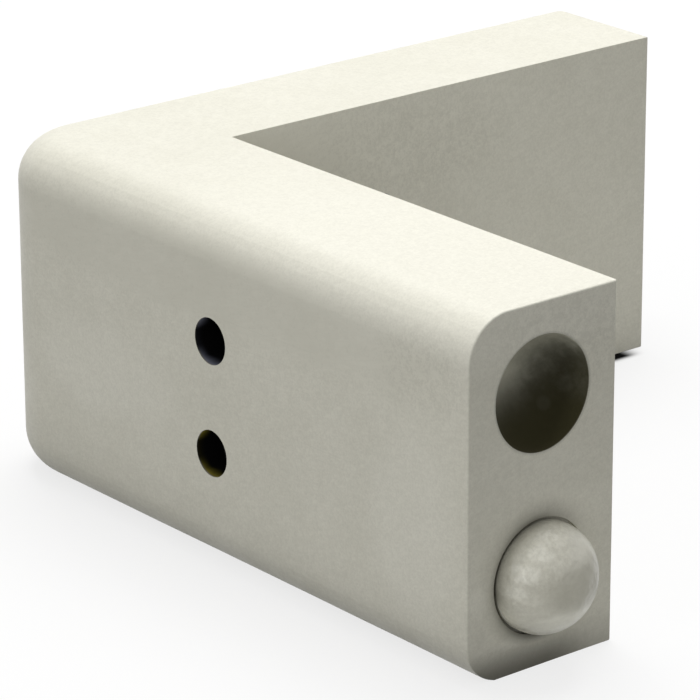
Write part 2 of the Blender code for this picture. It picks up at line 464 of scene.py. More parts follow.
def crisp_edges(bm, sizes):
    """Edges to soften, in two sets: those round the end faces, and the others.

    The root of a knob, the mouths of the bolt holes and the outline of the base stay crisp.
    """
    round_ends, others = [], []
    low, high = sizes.joint_heights
    near_bolt, near_knob = sizes.bolt_hole_radius * 1.1, sizes.knob_radius * 1.2
    before_ends = sizes.end_plane * 0.95
    for edge in bm.edges:
        spot = middle(edge)
        crisp = len(edge.link_faces) == 2 and edge.calc_face_angle(0) > CRISP_ANGLE
        at_bolt = from_bolts(spot, sizes) < near_bolt
        if not crisp or at_bolt or spot.z < MERGE_DISTANCE:
            continue
        from_knob = from_axes(spot, (low, high))
        away = min(from_knob, from_axes(spot, (high, low))) > near_knob
        on_end_face = max(spot.x, spot.y) > sizes.end_plane - MERGE_DISTANCE
        along_legs = away or max(spot.x, spot.y) < before_ends
        if on_end_face and away:
            round_ends.append(edge)
        elif on_end_face and from_knob > sizes.knob_radius + sizes.groove_width / 2:
            others.append(edge)
        elif not on_end_face and along_legs:
            others.append(edge)
    return round_ends, others


def cut_into_cells(bm, sizes):
    """Divide the faces by evenly spaced planes, so that they can dip a little."""
    set_back = 0.37
    along_a_leg = (sizes.outer_plane, sizes.end_plane + sizes.knob_reach)
    for axis, (start, end) in enumerate((along_a_leg, along_a_leg, (0, sizes.height))):
        normal = Vector((0, 0, 0))
        normal[axis] = 1
        for step in range(1, int((end - start) / CELL_SIZE) + 1):
            place = normal * (start + (step - set_back) * CELL_SIZE)
            geometry = bm.verts[:] + bm.edges[:] + bm.faces[:]
            bmesh.ops.bisect_plane(bm, geom=geometry, dist=MERGE_DISTANCE, plane_co=place,
                                   plane_no=normal)


def let_faces_wander(bm, sizes):
    """Dip the surface a little below true, in long soft waves."""
    bm.normal_update()
    finer, elsewhere = 2.3, Vector((7, 3, 5))
    moves = []
    for vert in bm.verts:
        wave = noise.noise(vert.co / sizes.wander_length)
        wave += 0.5 * noise.noise(vert.co * finer / sizes.wander_length + elsewhere)
        depth = sizes.wander * min(max(0.5 + 0.5 * wave, 0), 1)
        moves.append(vert.normal * depth)
    for vert, move in zip(bm.verts, moves):
        vert.co -= move


def finish_of(centre, sizes):
    """Which finish the face at this point takes."""
    low, high = sizes.joint_heights
    depth = sizes.end_plane - max(centre.x, centre.y)
    from_knob = from_axes(centre, (low, high))
    from_socket = from_axes(centre, (high, low))
    at_root = 0 < depth < 2 * sizes.groove_depth and from_knob < sizes.knob_radius * ON_SHANK
    if depth < -MERGE_DISTANCE or at_root:
        return KNOB
    mouth, bottom = 0.3 * sizes.socket_lip_radius, sizes.knob_reach * 1.2
    bowl_radius = sizes.knob_radius + sizes.joint_clearance * 1.5
    if mouth < depth < bottom and from_socket < bowl_radius:
        return SOCKET
    inside = abs(min(centre.x, centre.y)) < sizes.thickness / 2 - MERGE_DISTANCE
    if inside and from_bolts(centre, sizes) < sizes.bolt_hole_radius * ON_WALL:
        return BORE
    return SKIN


def finish_mesh(moulding, sizes):
    """Soften the crisp edges, let the faces wander, and give each face its finish."""
    bm = bmesh.new()
    bm.from_mesh(moulding.data)
    bmesh.ops.remove_doubles(bm, verts=bm.verts, dist=MERGE_DISTANCE)
    for index, radius in enumerate((sizes.end_softening, sizes.edge_softening)):
        round_edges(bm, crisp_edges(bm, sizes)[index], radius, SOFT_EDGE_SEGMENTS)
    cut_into_cells(bm, sizes)
    for face in bm.faces:
        face.material_index = finish_of(face.calc_center_median(), sizes)
        face.smooth = True
    let_faces_wander(bm, sizes)
    bm.to_mesh(moulding.data)
    bm.free()
    moulding.data.set_sharp_from_angle(angle=SHADING_ANGLE)
    weighted = moulding.modifiers.new("flat_face_shading", "WEIGHTED_NORMAL")
    weighted.keep_sharp = True


def node(tree, kind, inputs=None, **settings):
    """Add a node, set its settings, and set or link its inputs."""
    made = tree.nodes.new("ShaderNode" + kind)
    for name, value in settings.items():
        setattr(made, name, value)
    for name, value in (inputs or {}).items():
        if isinstance(value, bpy.types.NodeSocket):
            tree.links.new(value, made.inputs[name])
        else:
            made.inputs[name].default_value = value
    return made


def maths(tree, operation, *values, clamp=False):
    """Add a Math node and give its result."""
    made = node(tree, "Math", dict(enumerate(values)), operation=operation, use_clamp=clamp)
    return made.outputs["Value"]


def largest(tree, value, *others):
    """The largest of several values."""
    for other in others:
        value = maths(tree, "MAXIMUM", value, other)
    return value


def product(tree, value, *others):
    """Several values multiplied together."""
    for other in others:
        value = maths(tree, "MULTIPLY", value, other)
    return value


def ramp(tree, value, low, high, to_low=0.0, to_high=1.0):
    """Ease a value from one range to another."""
    made = node(tree, "MapRange", {"Value": value, "From Min": low, "From Max": high,
                                   "To Min": to_low, "To Max": to_high},
                interpolation_type="SMOOTHSTEP")
    return made.outputs["Result"]


def fade(tree, value, low, high):
    """Ease from one down to nothing."""
    return ramp(tree, value, low, high, 1.0, 0.0)


def split(tree, place):
    """The three coordinates of a place."""
    axes = node(tree, "SeparateXYZ", {"Vector": place}).outputs
    return axes["X"], axes["Y"], axes["Z"]


def join(tree, x, y, z):
    """A place from three coordinates."""
    return node(tree, "CombineXYZ", {"X": x, "Y": y, "Z": z}).outputs["Vector"]


def noise_of(tree, place, size, detail, roughness=0.5):
    """Noise with features of a given size."""
    scale = maths(tree, "DIVIDE", 1.0, size)
    return node(tree, "TexNoise", {"Vector": place, "Scale": scale, "Detail": detail,
                                   "Roughness": roughness}).outputs["Fac"]


def blend_colours(tree, share_of_second, first, second):
    """Mix two colours, each a socket or plain red, green and blue."""
    inputs = {0: share_of_second}
    for index, colour in ((6, first), (7, second)):
        linked = isinstance(colour, bpy.types.NodeSocket)
        inputs[index] = colour if linked else (*colour, 1.0)
    return node(tree, "Mix", inputs, data_type="RGBA").outputs[2]


def cover(tree, colour, mask, strength, over):
    """Lay a second colour over the first where a mask shows it, at some strength."""
    return blend_colours(tree, product(tree, mask, strength), colour, over)


def new_group(name, inputs, outputs):
    """Start a node group that reads a place and some numbers, and gives numbers."""
    group = bpy.data.node_groups.new(name, "ShaderNodeTree")
    group.interface.new_socket("Place", in_out="INPUT", socket_type="NodeSocketVector")
    for label, default in inputs.items():
        kind = "NodeSocketFloat" if isinstance(default, float) else "NodeSocketVector"
        made = group.interface.new_socket(label, in_out="INPUT", socket_type=kind)
        made.default_value = default
    for label in outputs:
        group.interface.new_socket(label, in_out="OUTPUT", socket_type="NodeSocketFloat")
    given = group.nodes.new("NodeGroupInput").outputs
    return group, given, group.nodes.new("NodeGroupOutput").inputs


def use_group(tree, group, inputs):
    """Place a node group in a material or in another group."""
    return node(tree, "Group", inputs, node_tree=group).outputs


def clouding_group():
    """Soft clouds of two tones, as a moulded skin cools unevenly."""
    group, given, result = new_group("Clouding", {"Cloud Size": 0.035, "Fine Size": 0.006},
                                     ["Cloud"])
    broad = noise_of(group, given["Place"], given["Cloud Size"], detail=3.0, roughness=0.6)
    fine = noise_of(group, given["Place"], given["Fine Size"], detail=4.0, roughness=0.7)
    broad_share, darkest, palest = 0.6, 0.36, 0.64
    both = maths(group, "ADD", product(group, broad, broad_share),
                 product(group, fine, 1 - broad_share))
    group.links.new(ramp(group, both, darkest, palest), result["Cloud"])
    return group


def drawn_place(group, place, length, thickness, slant):
    """Coordinates stretched along the legs, for marks that run that way with a slight climb."""
    x, y, z = split(group, place)
    along = maths(group, "ADD", x, y)
    climb = maths(group, "SUBTRACT", z, product(group, along, slant))
    side = maths(group, "SUBTRACT", x, y)
    return join(group, maths(group, "DIVIDE", along, length),
                maths(group, "DIVIDE", climb, thickness), maths(group, "DIVIDE", side, length))


def streak_group():
    """Short faint strokes along the legs, and a few longer thin scratches."""
    group, given, result = new_group(
        "Streaks", {"Stroke Length": 0.012, "Stroke Thickness": 0.0016, "Slant": 0.25},
        ["Stroke", "Scratch"])
    strokes = drawn_place(group, given["Place"], given["Stroke Length"],
                          given["Stroke Thickness"], given["Slant"])
    faintest, strongest = 0.35, 0.65
    patchy = noise_of(group, strokes, 1.0, detail=2.0, roughness=0.6)
    group.links.new(ramp(group, patchy, faintest, strongest), result["Stroke"])
    long_run, spacing, slight_climb, line_width = 0.6, 0.012, 0.02, 0.010
    lines = drawn_place(group, given["Place"], long_run, spacing, slight_climb)
    from_line = maths(group, "SUBTRACT", noise_of(group, lines, 1.0, detail=0.0), 0.5)
    scratch = fade(group, maths(group, "ABSOLUTE", from_line), 0.0, line_width)
    group.links.new(scratch, result["Scratch"])
    return group


def speck_group():
    """Small dark specks of uneven size, with some places left clear."""
    group, given, result = new_group("Specks", {"Speck Size": 0.0026, "Plenty": 0.3}, ["Speck"])
    dots = node(group, "TexVoronoi", {
        "Vector": given["Place"], "Scale": maths(group, "DIVIDE", 1.0, given["Speck Size"])},
        feature="F1").outputs
    core, rim, spread = 0.10, 0.45, 0.25
    dot = fade(group, dots["Distance"], core, rim)
    chance = node(group, "SeparateColor", {"Color": dots["Color"]}).outputs[0]
    limit = maths(group, "SUBTRACT", 1.0, given["Plenty"])
    kept = ramp(group, chance, limit, maths(group, "ADD", limit, spread))
    group.links.new(product(group, dot, kept), result["Speck"])
    return group


def patch_group():
    """A soft round patch at one place on the surface."""
    group, given, result = new_group(
        "Patch", {"Centre": (0.0, 0.0, 0.0), "Reach": (0.01, 0.01, 0.01)}, ["Patch"])
    away = node(group, "VectorMath", {0: given["Place"], 1: given["Centre"]},
                operation="SUBTRACT").outputs["Vector"]
    scaled = node(group, "VectorMath", {0: away, 1: given["Reach"]},
                  operation="DIVIDE").outputs["Vector"]
    length = node(group, "VectorMath", {0: scaled}, operation="LENGTH").outputs["Value"]
    full_within = 0.45
    group.links.new(fade(group, length, full_within, 1.0), result["Patch"])
    return group


def grain_group():
    """Height of the moulded skin: fine grain over low soft dimples."""
    group, given, result = new_group(
        "Grain", {"Dimple Size": 0.007, "Grain Size": 0.0009, "Grain Share": 0.2}, ["Height"])
    dimples = noise_of(group, given["Place"], given["Dimple Size"], detail=2.0)
    grain = noise_of(group, given["Place"], given["Grain Size"], detail=3.0)
    height = maths(group, "MULTIPLY_ADD", grain, given["Grain Share"], dimples)
    group.links.new(height, result["Height"])
    return group


def end_group(sizes):
    """Where a point lies on the nearer end: depth below the end face and place across it."""
    low, high = sizes.joint_heights
    group, given, result = new_group(
        "End Place", {}, ["Depth", "Across", "Height", "Above Knob", "Above Socket"])
    x, y, z = split(group, given["Place"])
    near = maths(group, "GREATER_THAN", x, y)
    knob_height = maths(group, "MULTIPLY_ADD", near, low - high, high)
    socket_height = maths(group, "SUBTRACT", low + high, knob_height)
    values = {"Depth": maths(group, "SUBTRACT", sizes.end_plane, largest(group, x, y)),
              "Across": maths(group, "MINIMUM", x, y), "Height": z,
              "Above Knob": maths(group, "SUBTRACT", z, knob_height),
              "Above Socket": maths(group, "SUBTRACT", z, socket_height)}
    for name, value in values.items():
        group.links.new(value, result[name])
    return group


def radius_of(tree, across, above):
    """Distance from an axis."""
    squares = product(tree, across, across), product(tree, above, above)
    return maths(tree, "SQRT", maths(tree, "ADD", *squares))


def knob_painted_shade(group, end, edge):
    """Painted shade round a knob: a wide soft halo, a tight ring, and a dark crack in the groove.
    """
    from_knob = radius_of(group, end["Across"], end["Above Knob"])
    halo_width, halo_strength, clear_height, outer_share = 0.014, 0.64, 0.08, 0.26
    close = fade(group, from_knob, edge, edge + halo_width)
    upright = maths(group, "DIVIDE", end["Above Knob"], from_knob)
    upright = maths(group, "POWER", maths(group, "SUBTRACT", upright, clear_height), 2.0)
    outward = maths(group, "DIVIDE", maths(group, "MINIMUM", end["Across"], 0.0), from_knob)
    weight = maths(group, "MULTIPLY_ADD", outward, -outer_share, upright)
    halo = product(group, maths(group, "POWER", close, 2.0), weight)
    outer_side, dock_side = -0.2 * edge, 0.5 * edge
    crack = product(group, fade(group, from_knob, edge + 0.0009, edge + 0.0014),
                    ramp(group, end["Across"], outer_side, dock_side, 0.9, 0.25))
    tight = product(group, fade(group, from_knob, edge + 0.001, edge + 0.004),
                    ramp(group, end["Across"], outer_side, dock_side, 0.25, 0.0))
    return largest(group, maths(group, "MULTIPLY_ADD", halo, halo_strength, tight), crack)


def end_painted_shade(group, end, mouth, dock_plane):
    """Painted shade on the end face: round a socket's mouth, and low down towards the outer side.
    """
    rim_width, rim_strength = 0.0016, 0.35
    low_height, low_strength, dock_side_share = 0.018, 0.96, 0.25
    from_socket = radius_of(group, end["Across"], end["Above Socket"])
    rim = product(group, fade(group, from_socket, mouth, mouth + rim_width), rim_strength)
    on_face = fade(group, end["Depth"], 0.0002, 0.0012)
    low = fade(group, end["Height"], 0.0, low_height)
    sideways = ramp(group, end["Across"], 0.002, dock_plane, 1.0, dock_side_share)
    under = product(group, low, sideways, low_strength)
    return product(group, largest(group, rim, under), on_face)


def foot_painted_shade(group, end, outer_plane):
    """Painted shade along the foot of the outer faces: a faint band and a darker line at the base.
    """
    strength, height, line_strength = 0.20, 0.034, 0.55
    band = maths(group, "MULTIPLY_ADD", end["Height"], -strength / height, strength, clamp=True)
    line = product(group, fade(group, end["Height"], 0.0022, 0.0036), line_strength)
    on_outer_side = fade(group, end["Across"], outer_plane + 0.007, outer_plane + 0.020)
    return product(group, largest(group, band, line), on_outer_side)


def painted_shade_group(sizes, end_place):
    """Painted shade round the root of a knob, round a socket's mouth, and low down on the outside.
    """
    group, given, result = new_group("Painted Shade", {}, ["Painted Shade"])
    end = use_group(group, end_place, {"Place": given["Place"]})
    mouth = sizes.knob_radius + sizes.joint_clearance
    painted_shade = largest(group, knob_painted_shade(group, end, sizes.knob_radius),
                    end_painted_shade(group, end, mouth, sizes.dock_plane),
                    foot_painted_shade(group, end, sizes.outer_plane))
    group.links.new(painted_shade, result["Painted Shade"])
    return group


def new_material(name):
    """Start a material and give its tree, its shader and the object's own coordinates."""
    material = bpy.data.materials.new(name)
    material.use_nodes = True
    tree = material.node_tree
    shader = tree.nodes["Principled BSDF"]
    place = tree.nodes.new("ShaderNodeTexCoord").outputs["Object"]
    return material, tree, shader, place


def add_grain(tree, shader, groups, place, depth, **grain):
    """Raise the surface by the skin's grain, to a given depth."""
    inputs = {name.replace("_", " ").title(): value for name, value in grain.items()}
    height = use_group(tree, groups["grain"], {"Place": place, **inputs})["Height"]
    bump = node(tree, "Bump", {"Height": height, "Distance": depth, "Strength": 1.0})
    tree.links.new(bump.outputs["Normal"], shader.inputs["Normal"])


def vary(tree, middle_value, cloud, swing):
    """Let a value follow the clouds, up and down from its middle."""
    return maths(tree, "MULTIPLY_ADD", cloud, 2 * swing, middle_value - swing)


def clouds(tree, groups, place, sizes):
    """Soft clouds with a broad and a fine size."""
    return use_group(tree, groups["clouding"], {"Place": place, "Cloud Size": sizes[0],
                                                "Fine Size": sizes[1]})["Cloud"]


def patches(tree, groups, place, *marks):
    """Strength of soft patches, each given by its centre and its reach."""
    found = [use_group(tree, groups["patch"], {"Place": place, "Centre": centre,
                                               "Reach": reach})["Patch"]
             for centre, reach in marks]
    return largest(tree, *found)


def pale_and_lit_patches(tree, groups, place, sizes):
    """Where the skin is paler: two patches on the outer face, painted light over the top of the
    near leg, and two painted highlights on the end face beside and under a knob.
    """
    outer, end = sizes.outer_plane, sizes.end_plane
    near_end = ((0.245, outer, 0.055), (0.034, 0.012, 0.055))
    near_corner = ((0.042, outer, 0.064), (0.060, 0.012, 0.026))
    # Painted light over the top of the near leg.
    over_top = ((0.26, 0.0, sizes.height), (0.24, 0.10, 0.030))
    # Painted highlights on the end face, beside and under the knob.
    beside_knob = ((end, -0.0315, 0.034), (0.010, 0.006, 0.008))
    under_knob = ((end, -0.0150, 0.013), (0.010, 0.011, 0.003))
    return patches(tree, groups, place, near_end, near_corner, over_top, beside_knob, under_knob)


def skin_mottling(tree, groups, place, sizes):
    """Fine dark mottling and a few specks, with crowded places high on the faces."""
    few = use_group(tree, groups["specks"], {"Place": place, "Plenty": 0.10})["Speck"]
    rough_skin = clouds(tree, groups, place, ROUGH_CLOUDS)
    outer_face = ((0.252, sizes.outer_plane, 0.122), (0.032, 0.014, 0.020))
    end_face = ((sizes.end_plane, 0.012, 0.132), (0.010, 0.045, 0.028))
    dock_face = ((sizes.dock_plane, 0.130, 0.125), (0.010, 0.075, 0.030))
    crowded = patches(tree, groups, place, outer_face, end_face, dock_face)
    fine_skin = clouds(tree, groups, place, FINE_CLOUDS)
    rougher = product(tree, rough_skin,
                      maths(tree, "MULTIPLY_ADD", crowded, CROWDED_SHARE, ROUGH_SHARE))
    mottled = maths(tree, "MULTIPLY_ADD", fine_skin, MOTTLE_SHARE, rougher)
    return largest(tree, product(tree, few, SPECK_SHARE), mottled)


def painted_shade_and_smudges(tree, groups, place, sizes):
    """Where the skin is darker: painted shade high on two faces and over the top towards its inner
    corner, and two smudges.
    """
    dock, end = sizes.dock_plane, sizes.end_plane
    # Painted shade high in the inner corner and just below the top of the outer face.
    inner_corner = ((dock, dock, 0.118), (0.030, 0.110, 0.050))
    below_top = ((0.110, sizes.outer_plane, 0.122), (0.220, 0.020, 0.026))
    shade = patches(tree, groups, place, inner_corner, below_top)
    smudge_reach = (0.010, 0.004, 0.002)
    smudge = patches(tree, groups, place, ((end, 0.0178, 0.1293), smudge_reach),
                     ((end, 0.0215, 0.1312), smudge_reach))
    # Painted shade over the top, darkest towards the inner corner.
    top_corner_shade = patches(tree, groups, place, ((0.03, 0.03, sizes.height), (0.17, 0.30, 0.03)))
    return largest(tree, product(tree, top_corner_shade, TOP_CORNER_SHARE),
                   product(tree, shade, SHADE_SHARE), product(tree, smudge, SMUDGE_SHARE))


def skin_material(finish, groups, sizes):
    """Warm off-white skin: clouded, faintly streaked and specked, with painted shade low down and
    round the knobs, and patches of painted light and painted shade.
    """
    material, tree, shader, place = new_material("moulded_skin")
    cloud = clouds(tree, groups, place, SKIN_CLOUDS)
    marks = use_group(tree, groups["streaks"], {"Place": place})
    pale_and_lit = pale_and_lit_patches(tree, groups, place, sizes)
    colour = cover(tree, finish.skin_colour, cloud, CLOUD_SHARE, finish.clouded_colour)
    colour = cover(tree, colour, marks["Stroke"], STROKE_SHARE, finish.clouded_colour)
    # Paler patches, with painted light over the top and painted highlights beside and under a
    # knob.
    colour = cover(tree, colour, pale_and_lit, PALE_AND_LIT_SHARE, finish.pale_and_lit_colour)
    middle_face = ((0.150, sizes.outer_plane, 0.080), (0.080, 0.012, 0.050))
    scratch = product(tree, marks["Scratch"], patches(tree, groups, place, middle_face))
    colour = cover(tree, colour, scratch, SCRATCH_SHARE, finish.speck_and_shade_colour)
    dark = largest(tree, skin_mottling(tree, groups, place, sizes),
                   painted_shade_and_smudges(tree, groups, place, sizes))
    colour = blend_colours(tree, dark, colour, finish.speck_and_shade_colour)
    # Painted shade round the knobs, round the sockets' mouths, and low down on the outside.
    painted_shade = use_group(tree, groups["painted_shade"], {"Place": place})["Painted Shade"]
    colour = blend_colours(tree, painted_shade, colour, finish.painted_shade_colour)
    tree.links.new(colour, shader.inputs["Base Color"])
    rough = vary(tree, finish.skin_roughness, cloud, swing=0.05)
    tree.links.new(rough, shader.inputs["Roughness"])
    add_grain(tree, shader, groups, place, SKIN_GRAIN)
    return material


def knob_place(tree, groups, place):
    """Where a point lies on the nearer end and on its knob, and the latter with a waver."""
    end = use_group(tree, groups["end"], {"Place": place})
    even = join(tree, end["Depth"], end["Across"], end["Above Knob"])
    swing = (0.0035, 0.0035, 0.0035)
    waver = node(tree, "TexNoise", {"Vector": place, "Scale": 190.0, "Detail": 2.0})
    wavering = node(tree, "VectorMath", {0: waver.outputs["Color"], 1: swing, 2: even},
                    operation="MULTIPLY_ADD").outputs["Vector"]
    return end, even, wavering


def knob_root_painted_shade(tree, end):
    """Painted shade that creeps up a knob from its root, along the top and the outer side."""
    shade_reach, slope, outer_strength, dock_strength = 0.011, 0.6, 0.74, 0.57
    near_root = maths(tree, "MULTIPLY_ADD", end["Depth"], 1 / shade_reach, 1.0, clamp=True)
    to_the_top = maths(tree, "MULTIPLY_ADD", end["Across"], -slope, end["Above Knob"])
    return product(tree, maths(tree, "POWER", near_root, 1.3), ramp(tree, to_the_top, 0.0, 0.012),
                   ramp(tree, end["Across"], -0.006, 0.006, outer_strength, dock_strength))


def knob_material(finish, groups):
    """The same skin on the knobs, smoother and more mottled, with painted highlights, painted
    bounce light low down, and painted shade on the dock side and at the root.
    """
    material, tree, shader, place = new_material("knob_skin")
    end, even, wavering = knob_place(tree, groups, place)
    cloud = clouds(tree, groups, place, KNOB_CLOUDS)
    colour = blend_colours(tree, cloud, finish.skin_colour, finish.clouded_colour)
    high_spot = ((-0.0104, -0.0090, 0.0173), (0.011, 0.0060, 0.0038))
    outer_spot = ((-0.0103, -0.0155, 0.0106), (0.010, 0.0046, 0.0040))
    level_spot = ((-0.0080, -0.0190, 0.0029), (0.009, 0.0040, 0.0036))
    # Painted highlights: three spots on the upper outer side of the knob.
    painted_highlight = patches(tree, groups, wavering, high_spot, outer_spot, level_spot)
    # Painted bounce light low on the knob.
    below = patches(tree, groups, even, ((-0.0170, -0.002, -0.0125), (0.016, 0.017, 0.0068)))
    colour = blend_colours(tree, largest(tree, painted_highlight, below), colour, finish.painted_highlight_colour)
    # Painted shade on the knob's dock side.
    shaded_side = patches(tree, groups, wavering, ((-0.0168, 0.0088, 0.0028), (0.022, 0.029, 0.0130)))
    dock_side = patches(tree, groups, even, ((-0.0165, 0.016, -0.002), (0.010, 0.010, 0.010)))
    shaded_side_strength, dock_side_strength = 0.52, 0.16
    shaded_side = maths(tree, "MULTIPLY_ADD", dock_side, dock_side_strength,
                 product(tree, shaded_side, shaded_side_strength))
    colour = blend_colours(tree, shaded_side, colour, finish.speck_and_shade_colour)
    outwards = maths(tree, "SUBTRACT", end["Above Knob"], end["Across"])
    upper_outer = ramp(tree, outwards, 0.006, 0.020)
    everywhere, added_there = 0.07, 0.16
    mottling = product(tree, clouds(tree, groups, place, KNOB_MOTTLING),
                       maths(tree, "MULTIPLY_ADD", upper_outer, added_there, everywhere))
    colour = blend_colours(tree, mottling, colour, finish.speck_and_shade_colour)
    # Painted shade at the root of the knob, along its top and outer side.
    colour = blend_colours(tree, knob_root_painted_shade(tree, end), colour, finish.painted_shade_colour)
    tree.links.new(colour, shader.inputs["Base Color"])
    rough = vary(tree, finish.knob_roughness, cloud, swing=0.06)
    tree.links.new(rough, shader.inputs["Roughness"])
    add_grain(tree, shader, groups, place, KNOB_GRAIN, dimple_size=0.008, grain_share=0.06)
    return material


def socket_painted_light(tree, end, cloud):
    """Painted light in the bowl, strongest high up and towards the outer side."""
    slope, waver, shallow_strength, deep_strength = 0.46, 0.0035, 1.2, 0.83
    sideways = maths(tree, "MULTIPLY_ADD", end["Above Socket"], -slope, end["Across"])
    uneven = maths(tree, "MULTIPLY_ADD", cloud, waver, sideways)
    painted_light = fade(tree, uneven, -0.0014, 0.033)
    height = ramp(tree, end["Above Socket"], -0.0257, 0.0043)
    thickness = maths(tree, "POWER", product(tree, painted_light, height), 2.5)
    by_depth = ramp(tree, end["Depth"], 0.008, 0.016, shallow_strength, deep_strength)
    return maths(tree, "MULTIPLY", thickness, by_depth, clamp=True)


def socket_painted_glow(tree, groups, end, cloud):
    """A thin painted glow high in the bowl, and two faint painted highlights on its dock side,
    below the middle.
    """
    on_bowl = join(tree, end["Depth"], end["Across"], end["Above Socket"])
    low_glint = ((0.0150, 0.0136, -0.0116), (0.0038, 0.0038, 0.0038))
    side_glint = ((0.0106, 0.0208, -0.0038), (0.0045, 0.0045, 0.0045))
    # Two painted highlights on the bowl's dock side.
    marks = patches(tree, groups, on_bowl, low_glint, side_glint)
    glow_strength, glint_strength = 0.06, 0.028
    high_glow = product(tree, cloud, glow_strength, ramp(tree, end["Above Socket"], -0.013, 0.0))
    return maths(tree, "MULTIPLY_ADD", marks, glint_strength, high_glow)


def socket_material(finish, groups):
    """Bowl in dark painted shade, with painted light on its outer side."""
    material, tree, shader, place = new_material("socket_bowl")
    end = use_group(tree, groups["end"], {"Place": place})
    inside = ramp(tree, end["Depth"], -0.0010, 0.0006)
    cloud = clouds(tree, groups, place, SOCKET_CLOUDS)
    # Painted light on the outer side of the bowl, which also makes the surface there less rough.
    painted_light = socket_painted_light(tree, end, cloud)
    pale = largest(tree, painted_light, socket_painted_glow(tree, groups, end, cloud))
    bowl = blend_colours(tree, pale, finish.socket_shade_colour, finish.socket_lit_colour)
    colour = blend_colours(tree, inside, finish.clouded_colour, bowl)
    tree.links.new(colour, shader.inputs["Base Color"])
    rough = maths(tree, "MULTIPLY_ADD", painted_light, -LIT_SMOOTHING, SOCKET_ROUGHNESS)
    tree.links.new(rough, shader.inputs["Roughness"])
    shader.inputs["Specular IOR Level"].default_value = SOCKET_GLOSS
    add_grain(tree, shader, groups, place, SOCKET_GRAIN)
    return material


def bore_light(tree, sizes, depth, height):
    """Light on the wall of a bolt hole, by depth and by height above the hole's own axis."""
    lower, upper = sizes.bolt_heights
    middle_height = (lower + upper) / 2
    axis = ramp(tree, height, middle_height - MERGE_DISTANCE, middle_height + MERGE_DISTANCE,
                lower, upper)
    raised = maths(tree, "DIVIDE", maths(tree, "SUBTRACT", height, axis), sizes.bolt_hole_radius)
    bed_strength, side_strength = 0.43, 0.03
    bed_reach, side_reach, roof_reach = 0.0080, 0.0048, 0.0074
    roof = maths(tree, "POWER", ramp(tree, raised, 0.1, 0.75), 1.5)
    bed = maths(tree, "POWER", fade(tree, raised, -1.0, -0.2), 1.5)
    strength = largest(tree, roof, product(tree, bed, bed_strength), side_strength)
    reach = largest(tree, ramp(tree, raised, -1.0, -0.8, bed_reach, side_reach),
                    ramp(tree, raised, 0.1, 0.4, side_reach, roof_reach))
    left = maths(tree, "SUBTRACT", 1.0, maths(tree, "DIVIDE", depth, reach))
    return product(tree, strength, maths(tree, "POWER", largest(tree, left, 0.0), 2.0))


def bore_material(finish, groups, sizes):
    """Wall of a bolt hole in painted shade, nearly black a few millimetres in from its mouth."""
    material, tree, shader, place = new_material("bolt_bore")
    x, y, z = split(tree, place)
    across = maths(tree, "MINIMUM", maths(tree, "ABSOLUTE", x), maths(tree, "ABSOLUTE", y))
    depth = maths(tree, "SUBTRACT", sizes.thickness / 2, across)
    upper = ramp(tree, z, 0.45 * sizes.height, 0.55 * sizes.height)
    light = blend_colours(tree, upper, finish.lower_bore_colour, finish.upper_bore_colour)
    mouth = blend_colours(tree, ramp(tree, depth, 0.0, 0.0014), finish.clouded_colour, light)
    # Painted light near the mouth over painted shade deeper in.
    colour = blend_colours(tree, bore_light(tree, sizes, depth, z), finish.bore_shade_colour, mouth)
    tree.links.new(colour, shader.inputs["Base Color"])
    shader.inputs["Roughness"].default_value = BORE_ROUGHNESS
    shader.inputs["Specular IOR Level"].default_value = BORE_GLOSS
    add_grain(tree, shader, groups, place, SKIN_GRAIN)
    return material


class BUMPER_OT_add_moulding(bpy.types.Operator):
    """Add the moulding: two legs, a knob and a socket on each end, and the bolt holes"""

    bl_idname = "bumper.add_moulding"
    bl_label = "Add Moulding"

    def execute(self, context):
        """Model the moulding and give it its finishes."""
        sizes = context.scene.bumper_sizes
        finish = context.scene.bumper_finish
        low, high = sizes.joint_heights
        moulding = make_legs(sizes)
        add_end(moulding, sizes, X_AXIS, low, high)
        add_end(moulding, sizes, Y_AXIS, high, low)
        add_bolt_holes(moulding, sizes, X_AXIS, Y_AXIS)
        add_bolt_holes(moulding, sizes, Y_AXIS, X_AXIS)
        finish_mesh(moulding, sizes)
        end_place = end_group(sizes)
        groups = {"clouding": clouding_group(), "streaks": streak_group(),
                  "specks": speck_group(), "patch": patch_group(), "grain": grain_group(),
                  "end": end_place, "painted_shade": painted_shade_group(sizes, end_place)}
        for material in (skin_material(finish, groups, sizes), knob_material(finish, groups),
                         socket_material(finish, groups), bore_material(finish, groups, sizes)):
            moulding.data.materials.append(material)
        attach(moulding, "root")
        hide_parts("bumper")
        return {"FINISHED"}


def to_the_eye(tree):
    """One for camera, mirror and glass rays, and zero for the light that bounces."""
    path = node(tree, "LightPath").outputs
    return largest(tree, path["Is Camera Ray"], path["Is Glossy Ray"],
                   path["Is Transmission Ray"])


def floor_patch(tree, x, y, centre, start, end):
    """A soft round patch on the floor."""
    away = radius_of(tree, maths(tree, "SUBTRACT", x, centre[0]),
                     maths(tree, "SUBTRACT", y, centre[1]))
    return fade(tree, away, start, end)


